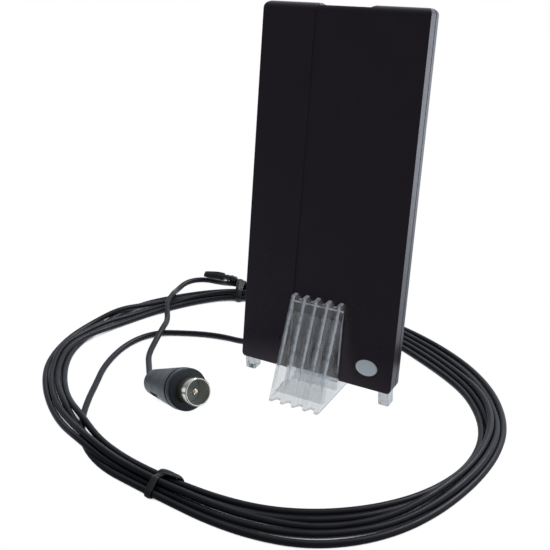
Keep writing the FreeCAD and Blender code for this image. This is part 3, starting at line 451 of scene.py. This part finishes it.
def wind_turns():
    """Offset and height of each turn, settled on the table or on the turns that were laid before it."""
    count = (TURN_END - TURN_START) // STEP + 1
    line = []
    for index in range(count):
        lane = index // PER_TURN
        angle = TURN_START + STEP * (index % PER_TURN)
        inner = between(EDGES, angle, 1)
        outer = between(EDGES, angle, 2)
        sway = SWAY * math.sin(SWAY_RATE * index * STEP + SWAY_SHIFT * lane)
        offset = (inner + outer) / 2 + (outer - inner) / 2 * between(LANES[lane], angle) + sway
        line.append([offset, floor_at(angle)])
    for _ in range(SWEEPS):
        for index in range(1, count - 1):
            middle = (line[index - 1][1] + line[index + 1][1]) / 2
            line[index][1] += SMOOTHING * (middle - line[index][1])
        for start in range(PER_TURN):
            settle(line, start)
    return line


def settle(line, start):
    """Lets the turns sink at one angle, in the order in which they were laid."""
    angle = TURN_START + STEP * start
    laid = []
    for lane in FRONT_ORDER if angle < ORDER_CHANGE else BACK_ORDER:
        index = lane * PER_TURN + start
        if index >= len(line):
            continue
        rest = floor_at(angle)
        lift = between(LAST_RISE, angle) if lane == LAST_TURN else 0
        for offset, height in laid:
            apart = abs(offset - line[index][0])
            if apart < CABLE:
                rest = max(rest, height + math.sqrt(CABLE ** 2 - apart ** 2))
        line[index][1] = max(rest + lift, line[index][1] - SINKING)
        laid.append(line[index])


turns = wind_turns()
cable_points = [Vector(spot) for spot in LEAD_ROUTE]
cable_points += [coil_spot(TURN_START + STEP * index, *spot) for index, spot in enumerate(turns)]
cable_points += [Vector(spot) for spot in TAIL_ROUTE]

cable_data = bpy.data.curves.new("cable", "CURVE")
cable_data.dimensions = "3D"
cable_data.bevel_depth = CABLE / 2 * MM
cable_data.bevel_resolution = 4
cable_data.resolution_u = 5
cable_data.use_fill_caps = True
line = cable_data.splines.new("NURBS")
line.points.add(len(cable_points) - 1)
for point, spot in zip(line.points, cable_points):
    point.co = (*(spot * MM), 1)
line.order_u = 3
line.use_endpoint_u = True
cable = bpy.data.objects.new("cable", cable_data)
bpy.context.scene.collection.objects.link(cable)
cable_data.materials.append(cable_black)


# Wire ties: flat ribbons with a wire in the middle, bent round the bundle and twisted.

RIBBON_WIDTH = 2.4
RIBBON_THICK = 0.55
RIBBON_SECTION = ((-0.5, -0.3), (-0.5, 0.3), (-0.24, 0.34), (-0.12, 0.62), (0.12, 0.62), (0.24, 0.34),
                  (0.5, 0.3), (0.5, -0.3), (0.14, -0.36), (-0.14, -0.36))
ROUND_DOTS = 24
BAND_POINTS = 36
TWIST_POINTS = 36
TWIST_REACH = 0.75
TWIST_SIZE = (2.1, 1.2)
LEAF_BLEND = 0.12
LEAF_REACH = 0.25
LEAF_SIZE = (3.5, 0.6)
LOWEST_BAND = 0.65 * RIBBON_THICK


def ribbon(bm, spine, outward, closed, sizes=None):
    """Sweeps the flat section along a line, with the wire's ridge towards the outward directions."""
    rings = []
    count = len(spine)
    for index, spot in enumerate(spine):
        back = spine[index - 1] if closed or index else spot
        ahead_spot = spine[(index + 1) % count] if closed or index < count - 1 else spot
        along = (ahead_spot - back).normalized()
        out = (outward[index] - along * outward[index].dot(along)).normalized()
        side = along.cross(out)
        wide, thick = sizes[index] if sizes else (RIBBON_WIDTH, RIBBON_THICK)
        ring = [bm.verts.new((spot + side * u * wide + out * v * thick) * MM) for u, v in RIBBON_SECTION]
        rings.append(ring)
    pairs = zip(rings, rings[1:] + rings[:1]) if closed else zip(rings, rings[1:])
    for first, second in pairs:
        for index in range(len(first)):
            after = (index + 1) % len(first)
            bm.faces.new((first[index], first[after], second[after], second[index]))
    if not closed:
        bm.faces.new(rings[0][::-1])
        bm.faces.new(rings[-1])


def tie_piece(name, bm):
    """Makes a smooth object of a tie's ribbons."""
    bmesh.ops.recalc_face_normals(bm, faces=bm.faces)
    mesh = bpy.data.meshes.new(name)
    bm.to_mesh(mesh)
    bm.free()
    for face in mesh.polygons:
        face.use_smooth = True
    piece = bpy.data.objects.new(name, mesh)
    bpy.context.scene.collection.objects.link(piece)
    smooth = piece.modifiers.new("smooth", "SUBSURF")
    smooth.levels = 1
    smooth.render_levels = 2
    mesh.materials.append(tie_black)
    return piece


def bundle_at(angle):
    """Offset and height of each turn at an angle."""
    place = (angle - TURN_START) / STEP
    low = int(place)
    share = place - low
    met = []
    for index in range(low, len(turns) - 1, PER_TURN):
        met.append([a + (b - a) * share for a, b in zip(turns[index], turns[index + 1])])
    return met


def tie_along(angle):
    """Direction along the coil at an angle."""
    return (coil_spot(angle + 1, 0, 0) - coil_spot(angle - 1, 0, 0)).normalized()


def snug_outline(angle, slack):
    """Tight closed line round the turns at an angle, as offsets and heights."""
    reach = CABLE / 2 + RIBBON_THICK / 2 + slack
    dots = []
    for offset, height in bundle_at(angle):
        for step in range(ROUND_DOTS):
            turned = 2 * math.pi * step / ROUND_DOTS
            dots.append((offset + reach * math.cos(turned), height + reach * math.sin(turned)))
    dots.sort()
    halves = []
    for points in (dots, dots[::-1]):
        kept = []
        for x, z in points:
            while len(kept) > 1 and ((kept[-1][0] - kept[-2][0]) * (z - kept[-2][1])
                                     - (kept[-1][1] - kept[-2][1]) * (x - kept[-2][0])) <= 0:
                kept.pop()
            kept.append((x, z))
        halves += kept[:-1]
    return halves


def band(bm, angle, slant, slack, shift=0.0):
    """Ribbon all the way round the bundle, slanted and shifted along it."""
    along = tie_along(angle)
    corners = snug_outline(angle, slack)
    lengths = [math.dist(a, b) for a, b in zip(corners, corners[1:] + corners[:1])]
    inner = min(x for x, z in corners)
    outer = max(x for x, z in corners)
    spine = []
    for index in range(BAND_POINTS):
        goal = sum(lengths) * index / BAND_POINTS
        for corner, after, length in zip(corners, corners[1:] + corners[:1], lengths):
            if goal <= length:
                break
            goal -= length
        share = goal / length
        x = corner[0] + (after[0] - corner[0]) * share
        z = max(corner[1] + (after[1] - corner[1]) * share, LOWEST_BAND)
        lean = shift + slant * (1 - 2 * (x - inner) / (outer - inner))
        spine.append(coil_spot(angle, x, z) + along * lean)
    middle = sum(spine, Vector()) / BAND_POINTS
    ribbon(bm, spine, [spot - middle for spot in spine], True)


def twisted_ends(bm, route, flat, twists, leaf_start):
    """The tie's two ends, twisted together along a route and then laid flat on each other as a leaf."""
    for phase in (0, math.pi):
        spine = []
        facing = []
        sizes = []
        for index in range(TWIST_POINTS + 1):
            share = index / TWIST_POINTS
            place = share * (len(route) - 1)
            low = min(int(place), len(route) - 2)
            heading = (route[low + 1] - route[low]).normalized()
            side = Vector((0, 0, 1)).cross(heading).normalized()
            leaf = min(1, max(0, (share - leaf_start) / LEAF_BLEND))
            twist = phase + 2 * math.pi * twists * min(1, share / leaf_start)
            around = side * math.cos(twist) + Vector((0, 0, math.sin(twist)))
            facing.append((around * (1 - leaf) + (flat if phase else -flat) * leaf).normalized())
            reach = TWIST_REACH + (LEAF_REACH - TWIST_REACH) * leaf
            spine.append(route[low].lerp(route[low + 1], place - low) + facing[-1] * reach)
            swell = math.sin(math.pi * min(1, 0.3 + 0.6 * (share - leaf_start) / (1 - leaf_start)))
            wide = TWIST_SIZE[0] + (LEAF_SIZE[0] - TWIST_SIZE[0]) * leaf * swell
            sizes.append((wide, TWIST_SIZE[1] + (LEAF_SIZE[1] - TWIST_SIZE[1]) * leaf))
        ribbon(bm, spine, facing, False, sizes)


# Front tie: band with its ends folded into a round lump along the inner edge.
LUMP_LINE = ((-85.6, -6.4, 2.8), (-84.9, -6.7, 3.3), (-83.9, -7.0, 3.5), (-82.6, -7.2, 3.45),
             (-81.4, -7.4, 3.2), (-80.6, -7.8, 2.7), (-80.3, -8.2, 2.0), (-80.5, -8.3, 1.2))
LUMP_CORE = (-6.6, 1.7)
LUMP_SIZE = (3.0, 1.3)
bm = bmesh.new()
band(bm, FRONT_TIE + 0.3, slant=-0.6, slack=0.05)
spine = [coil_spot(*spot) for spot in LUMP_LINE]
facing = [coil_spot(*spot) - coil_spot(spot[0], *LUMP_CORE) for spot in LUMP_LINE]
ribbon(bm, spine, facing, False, [LUMP_SIZE] * len(spine))
front_tie = tie_piece("front_tie_wire", bm)

# Back tie: two turns, a twist of the ends, and a flat leaf over the tail of the cable.
LEAF_LINE = ((-65.0, 49.6, 6.4), (-67.2, 50.0, 6.6), (-70.2, 50.0, 6.4), (-75.8, 50.8, 5.9),
             (-80.0, 51.0, 5.3), (-83.6, 51.3, 4.8))
LEAF_FACING = Vector((0.25, -0.62, 0.74))
bm = bmesh.new()
band(bm, BACK_TIE, slant=0.5, slack=0.1, shift=-0.5)
band(bm, BACK_TIE, slant=-0.3, slack=0.75, shift=0.4)
twisted_ends(bm, [Vector(spot) for spot in LEAF_LINE], LEAF_FACING, twists=1.3, leaf_start=0.38)
back_tie = tie_piece("back_tie_wire", bm)


# Plug body: turned about the plug's axis, with a groove behind its collar and a recess low on one side.

PLUG_SPOT = (-49.1, -29.3, 4.38)
PLUG_HEADING = -21.9
PLUG_RISE = 19.6
REAR_RADIUS = 4.65
REAR_ROUND = 1.6
COLLAR_RADIUS = 7.3
GROOVE = (22.6, 23.2, 0.5)
COLLAR_FRONT = 26.4
COLLAR_ROUND = 0.7
RING_RADIUS = 4.6
RING_SEAT = 23.4
RECESS_ALONG = (6.2, 12.6)
RECESS_ROUND = (-44, -14)
RECESS_DEPTH = 2.2
RECESS_SOFT_ALONG = 0.8
RECESS_SOFT_ROUND = 8
PLUG_SIDES = 96
TAPER_STEPS = 42
ROUND_STEPS = 6
GROOVE_LIP = 0.3
SHARP_ANGLE = 35


def rounded(middle, radius, first, last):
    """Quarter turn of a profile, as distances along and radii."""
    angles = [math.radians(first + (last - first) * step / ROUND_STEPS) for step in range(ROUND_STEPS + 1)]
    return [(middle[0] + radius * math.cos(angle), middle[1] + radius * math.sin(angle)) for angle in angles]


def bump_between(at, low, high, soft):
    """One between two bounds, and nothing outside them, with a soft step at each."""
    share = min(1, max(0, (min(at - low, high - at) + soft / 2) / soft))
    return share * share * (3 - 2 * share)


profile = [(0, CABLE / 2)]
profile += rounded((REAR_ROUND, REAR_RADIUS - REAR_ROUND), REAR_ROUND, 180, 90)
for step in range(1, TAPER_STEPS + 1):
    share = step / TAPER_STEPS
    profile.append((REAR_ROUND + (GROOVE[0] - REAR_ROUND) * share,
                    REAR_RADIUS + (COLLAR_RADIUS - REAR_RADIUS) * share))
profile += [(GROOVE[0], COLLAR_RADIUS - GROOVE[2]), (GROOVE[1], COLLAR_RADIUS - GROOVE[2])]
profile += rounded((GROOVE[1] + GROOVE_LIP, COLLAR_RADIUS - GROOVE_LIP), GROOVE_LIP, 180, 90)
profile += rounded((COLLAR_FRONT - COLLAR_ROUND, COLLAR_RADIUS - COLLAR_ROUND), COLLAR_ROUND, 90, 0)
profile += [(COLLAR_FRONT, RING_RADIUS), (RING_SEAT, RING_RADIUS), (RING_SEAT, CABLE / 2)]

plug_turn = Matrix.Rotation(math.radians(PLUG_HEADING), 3, "Z")
plug_turn @= Matrix.Rotation(-math.radians(PLUG_RISE), 3, "Y")
bm = bmesh.new()
rings = []
for along, radius in profile:
    ring = []
    for side in range(PLUG_SIDES):
        around = 360 * side / PLUG_SIDES - 180
        dent = bump_between(along, *RECESS_ALONG, RECESS_SOFT_ALONG) * RECESS_DEPTH
        dent *= bump_between(around, *RECESS_ROUND, RECESS_SOFT_ROUND)
        out = radius - dent if radius > REAR_RADIUS else radius
        turned = math.radians(around)
        spot = plug_turn @ Vector((along, -out * math.cos(turned), out * math.sin(turned)))
        ring.append(bm.verts.new((spot + Vector(PLUG_SPOT)) * MM))
    rings.append(ring)
for first, second in zip(rings, rings[1:] + rings[:1]):
    for side in range(PLUG_SIDES):
        after = (side + 1) % PLUG_SIDES
        bm.faces.new((first[side], first[after], second[after], second[side]))
bmesh.ops.recalc_face_normals(bm, faces=bm.faces)
plug_mesh = bpy.data.meshes.new("plug_moulding")
bm.to_mesh(plug_mesh)
bm.free()
plug_mesh.shade_smooth()
plug_mesh.set_sharp_from_angle(angle=math.radians(SHARP_ANGLE))
plug_mesh.materials.append(plug_black)
plug_moulding = bpy.data.objects.new("plug_moulding", plug_mesh)
bpy.context.scene.collection.objects.link(plug_moulding)
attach(plug_moulding, "root")
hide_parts("plug_body")

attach(cable, "root")
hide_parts("cable_lead", "cable_coil", "cable_tail")
for piece, stands_for in ((front_tie, "front_tie"), (back_tie, "back_tie")):
    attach(piece, "root")
    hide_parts(stands_for)
on_cable = [front_tie, back_tie, plug_moulding]
on_cable += [nodes[name] for name in ("plug_shell", "plug_insulator", "plug_pin")]


# Stage: a white table in a dim room that is bright behind, so that the black face stays black.

LIT_COLOUR = (0.88, 0.97, 1.06, 1)
ROOM_BRIGHT_SIDE = (0.25, 0.95, 0.15)
TABLE_BRIGHT_BACK = (0.53, 0.85, 0)
TABLE_BRIGHT_LEFT = (-0.5, 0.86, 0)
DIM = 0.24
GAP_REACH = 0.006
GAP_STEP = (0.09, 0.25)
GAP_LIGHT = 0.02
STAND_STEP = (0.040, 0.044)
TABLE_REACH = 3.0
TABLE_DROP = 0.0001
KEY_SPOT = (0.25, 0.45, 0.75)
KEY_AIM = (-0.02, -0.02, 0.0)
KEY_SIZE = 0.4
KEY_POWER = 5


def stage_light(links, add, kind, out_socket, shine):
    """White where it is seen straight on or through clear plastic, and shine where it lights the object."""
    path = add("ShaderNodeLightPath")
    through = add("ShaderNodeMath", operation="ADD", use_clamp=True)
    links.new(path.outputs["Is Camera Ray"], through.inputs[0])
    links.new(path.outputs["Transmission Depth"], through.inputs[1])
    white = add(kind)
    white.inputs["Color"].default_value = (1, 1, 1, 1)
    lit = add(kind)
    lit.inputs["Color"].default_value = LIT_COLOUR
    links.new(shine, lit.inputs["Strength"])
    mix = add("ShaderNodeMixShader")
    links.new(through.outputs["Value"], mix.inputs["Fac"])
    links.new(lit.outputs[0], mix.inputs[1])
    links.new(white.outputs[0], mix.inputs[2])
    links.new(mix.outputs[0], out_socket)
    return white


world = bpy.data.worlds.new("studio")
world.use_nodes = True
bpy.context.scene.world = world
tree = world.node_tree
tree.nodes.remove(tree.nodes["Background"])
links = tree.links
add = node_adder(tree)
around = add("ShaderNodeTexCoord").outputs["Generated"]
shine = ramp_along(links, add, around, ROOM_BRIGHT_SIDE, -0.35, 0.95, 0.19, 1.1)
stage_light(links, add, "ShaderNodeBackground", tree.nodes["World Output"].inputs["Surface"], shine)

# The table is brighter behind and to the left, and carries painted shade in the narrow gaps between the
# turns.
white_table = bpy.data.materials.new("white_table")
white_table.use_nodes = True
tree = white_table.node_tree
tree.nodes.remove(tree.nodes["Principled BSDF"])
links = tree.links
add = node_adder(tree)
position = add("ShaderNodeNewGeometry").outputs["Position"]
behind = ramp_along(links, add, position, TABLE_BRIGHT_BACK, -0.08, 0.30, DIM, 2.0)
left = ramp_along(links, add, position, TABLE_BRIGHT_LEFT, -0.04, -0.01, DIM, 0.9)
shine = combine(links, add, "MAXIMUM", behind, left)
white = stage_light(links, add, "ShaderNodeEmission", tree.nodes["Material Output"].inputs["Surface"], shine)
# Painted shade: the white seen straight on or through clear plastic is darkened where occlusion is high,
# except near the stand.
shut_in = add("ShaderNodeAmbientOcclusion", samples=12)
shut_in.inputs["Distance"].default_value = GAP_REACH
painted_gap_shade = ramp(links, add, shut_in.outputs["AO"], *GAP_STEP, GAP_LIGHT, 1, "LINEAR")
from_stand = add("ShaderNodeVectorMath", operation="LENGTH")
links.new(position, from_stand.inputs[0])
near_stand = ramp(links, add, from_stand.outputs["Value"], *STAND_STEP, 1, 0, "LINEAR")
links.new(combine(links, add, "MAXIMUM", painted_gap_shade, near_stand), white.inputs["Strength"])

corners = [(-TABLE_REACH, -TABLE_REACH, 0), (TABLE_REACH, -TABLE_REACH, 0), (TABLE_REACH, TABLE_REACH, 0),
           (-TABLE_REACH, TABLE_REACH, 0)]
floor_mesh = bpy.data.meshes.new("table")
floor_mesh.from_pydata(corners, [], [(0, 1, 2, 3)])
floor_mesh.materials.append(white_table)
floor = bpy.data.objects.new("table", floor_mesh)
floor.location.z = -TABLE_DROP
bpy.context.scene.collection.objects.link(floor)


def soft_light(name, spot, aim, size, power):
    """Square soft box that points at a spot."""
    data = bpy.data.lights.new(name, "AREA")
    data.size = size
    data.energy = power
    lamp = bpy.data.objects.new(name, data)
    lamp.location = spot
    lamp.rotation_euler = (Vector(aim) - Vector(spot)).to_track_quat("-Z", "Y").to_euler()
    bpy.context.scene.collection.objects.link(lamp)


soft_light("key", KEY_SPOT, KEY_AIM, KEY_SIZE, KEY_POWER)

bpy.context.scene.view_settings.view_transform = "Standard"
